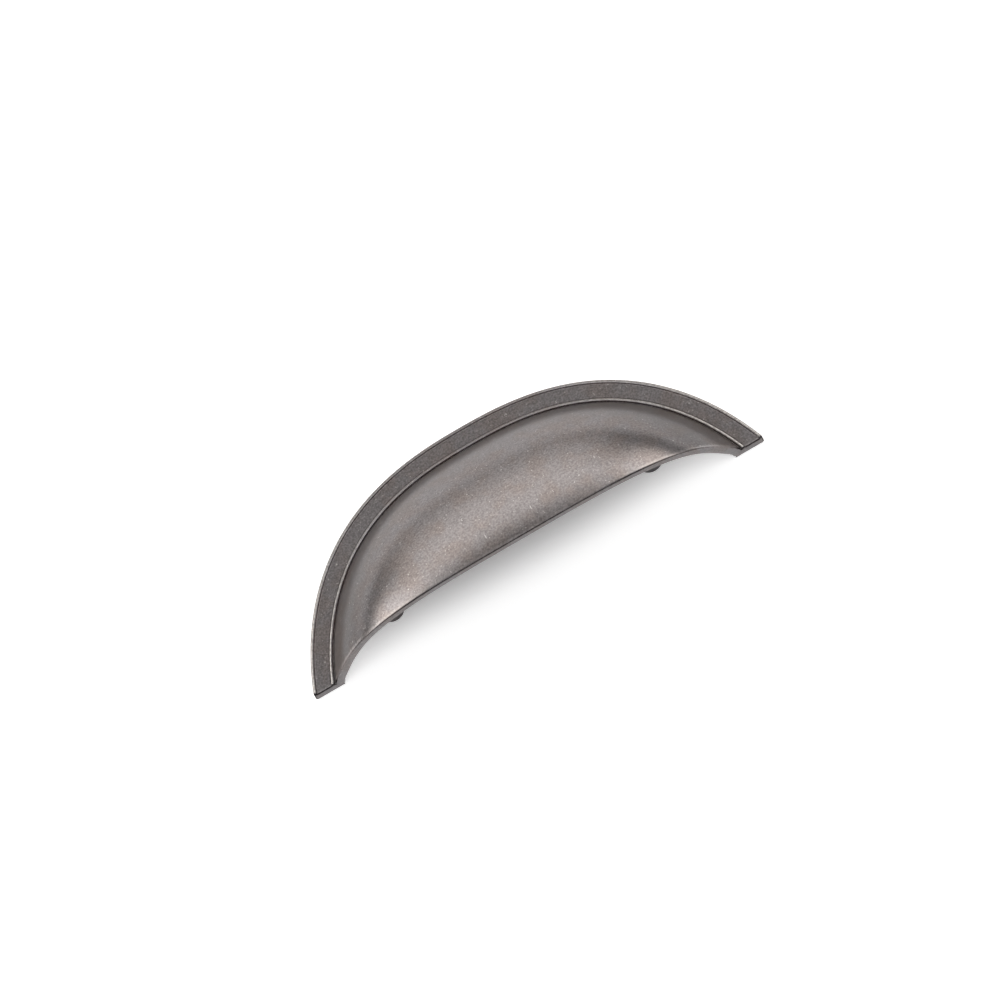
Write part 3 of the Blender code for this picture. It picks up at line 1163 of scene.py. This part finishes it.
def panel_light(tree, azimuth, elevation, panel):
    """Brightness that a panel adds: its level times a smooth step over each of its edges.

    Its middle moves towards the back of the pull in proportion to the elevation.
    """
    aim = math.radians(panel.azimuth)
    risen = maths(tree, "SUBTRACT", elevation, PANEL_MIDDLE)
    centre = maths(tree, "MULTIPLY_ADD", risen, -PANEL_LEAN * aim, aim)
    away = maths(tree, "ABSOLUTE", maths(tree, "SUBTRACT", azimuth, centre))
    edges = (
        (away, panel.half_width, -panel.side_soft),
        (elevation, panel.low, panel.low_soft),
        (elevation, panel.high, -panel.high_soft),
    )
    level = panel.level
    for value, edge, soft in edges:
        inside = stretched(tree, value, math.radians(edge - soft), math.radians(edge + soft))
        level = times(tree, inside, level)
    return level


def strip_light(tree, axes):
    """Brightness of the strip: a soft-edged ellipse of the direction's X and Y parts, above the horizon."""
    depth = maths(tree, "DIVIDE", maths(tree, "ADD", axes["Y"], STRIP_FORWARD), STRIP_DEPTH)
    length = maths(tree, "DIVIDE", axes["X"], STRIP_LENGTH)
    squares = maths(tree, "ADD", maths(tree, "POWER", depth, 2.0), maths(tree, "POWER", length, 2.0))
    out = maths(tree, "SQRT", squares)
    inside = stretched(tree, out, STRIP_OUTER, STRIP_INNER, 0.0, STRIP_LEVEL)
    return times(tree, inside, stretched(tree, axes["Z"], 0.0, STRIP_HORIZON))


def add_surroundings(context):
    """The sum of the soft lights: three panels behind the pull, a strip above its mouth and a dim room.

    A little more light comes from ahead of the mouth.
    """
    world = bpy.data.worlds.new("studio")
    context.scene.world = world
    world.use_nodes = True
    tree = world.node_tree
    toward = add_node(tree, "ShaderNodeTexCoord").outputs["Generated"]
    axes = add_node(tree, "ShaderNodeSeparateXYZ", Vector=toward).outputs
    azimuth = maths(tree, "ARCTAN2", axes["X"], axes["Y"])
    elevation = maths(tree, "ARCSINE", axes["Z"])
    panels = 0.0
    for panel in PANELS:
        panels = maths(tree, "ADD", panel_light(tree, azimuth, elevation, panel), panels)
    ahead = stretched(tree, axes["Y"], FRONT_START, FRONT_FULL, 0.0, FRONT_LEVEL)
    total = room_light(tree, axes["Z"])
    for tint, level in ((PANEL_TINT, panels), (WHITE, strip_light(tree, axes)), (WHITE, ahead)):
        tinted = scaled(tree, tint, level)
        total = add_node(
            tree, "ShaderNodeVectorMath", {"operation": "ADD"}, _0=total, _1=tinted).outputs[0]
    tree.links.new(total, tree.nodes["Background"].inputs["Color"])


# How far behind the middle of the back plane the camera aims, and its clipping over its distance
AIM_BEHIND = 0.3 * MM
CLIP_NEAR = 0.1
CLIP_FAR = 40


def add_camera(studio, context):
    """A long lens above the mouth, looking at the middle of the back plane, with the picture rolled."""
    data = bpy.data.cameras.new("camera")
    data.lens = studio.lens
    distance = studio.view_width * studio.lens / data.sensor_width
    data.clip_start = distance * CLIP_NEAR
    data.clip_end = distance * CLIP_FAR
    camera = bpy.data.objects.new("camera", data)
    context.scene.collection.objects.link(camera)
    back = Vector((0, -math.cos(studio.elevation), math.sin(studio.elevation)))
    right = Vector((1, 0, 0))
    upward = back.cross(right)
    rolled = right * math.cos(studio.roll) - upward * math.sin(studio.roll)
    aim = Vector((0, AIM_BEHIND, 0))
    turned = Matrix((rolled, back.cross(rolled), back)).transposed().to_4x4()
    camera.matrix_world = Matrix.Translation(aim + back * distance) @ turned
    context.scene.camera = camera


class CUP_PULL_OT_stage(bpy.types.Operator):
    """Set the floor, the light and the camera"""

    bl_idname = "cup_pull.stage"
    bl_label = "Studio"

    def execute(self, context):
        """Add the camera, the floor and the light."""
        studio = context.scene.pull_studio
        add_camera(studio, context)
        add_floor(studio, context)
        add_surroundings(context)
        context.scene.view_settings.view_transform = "Standard"
        return {"FINISHED"}


OPERATORS = (CUP_PULL_OT_stage, CUP_PULL_OT_casting, CUP_PULL_OT_posts)


class CUP_PULL_PT_sidebar(bpy.types.Panel):
    """Lists what can be built"""

    bl_idname = "CUP_PULL_PT_sidebar"
    bl_label = "Cup pull"
    bl_space_type = "VIEW_3D"
    bl_region_type = "UI"
    bl_category = "Cup pull"

    def draw(self, context):
        """A button for each operator and a box for each group of sizes."""
        for operator in OPERATORS:
            self.layout.operator(operator.bl_idname)
        for name in GROUPS:
            group = getattr(context.scene, name)
            box = self.layout.box()
            for key in group.bl_rna.properties.keys():
                if key not in {"rna_type", "name"}:
                    box.prop(group, key)


def register():
    """Registers the groups of sizes, the operators and the sidebar."""
    for name, group in GROUPS.items():
        bpy.utils.register_class(group)
        setattr(bpy.types.Scene, name, PointerProperty(type=group))
    for operator in OPERATORS:
        bpy.utils.register_class(operator)
    bpy.utils.register_class(CUP_PULL_PT_sidebar)


def unregister():
    """Takes away what register adds, in reverse."""
    bpy.utils.unregister_class(CUP_PULL_PT_sidebar)
    for operator in reversed(OPERATORS):
        bpy.utils.unregister_class(operator)
    for name, group in reversed(GROUPS.items()):
        delattr(bpy.types.Scene, name)
        bpy.utils.unregister_class(group)


def main():
    """Builds the stage and both pieces through their operators."""
    register()
    bpy.ops.cup_pull.stage()
    bpy.ops.cup_pull.casting()
    bpy.ops.cup_pull.posts()


if __name__ == "__main__":
    main()
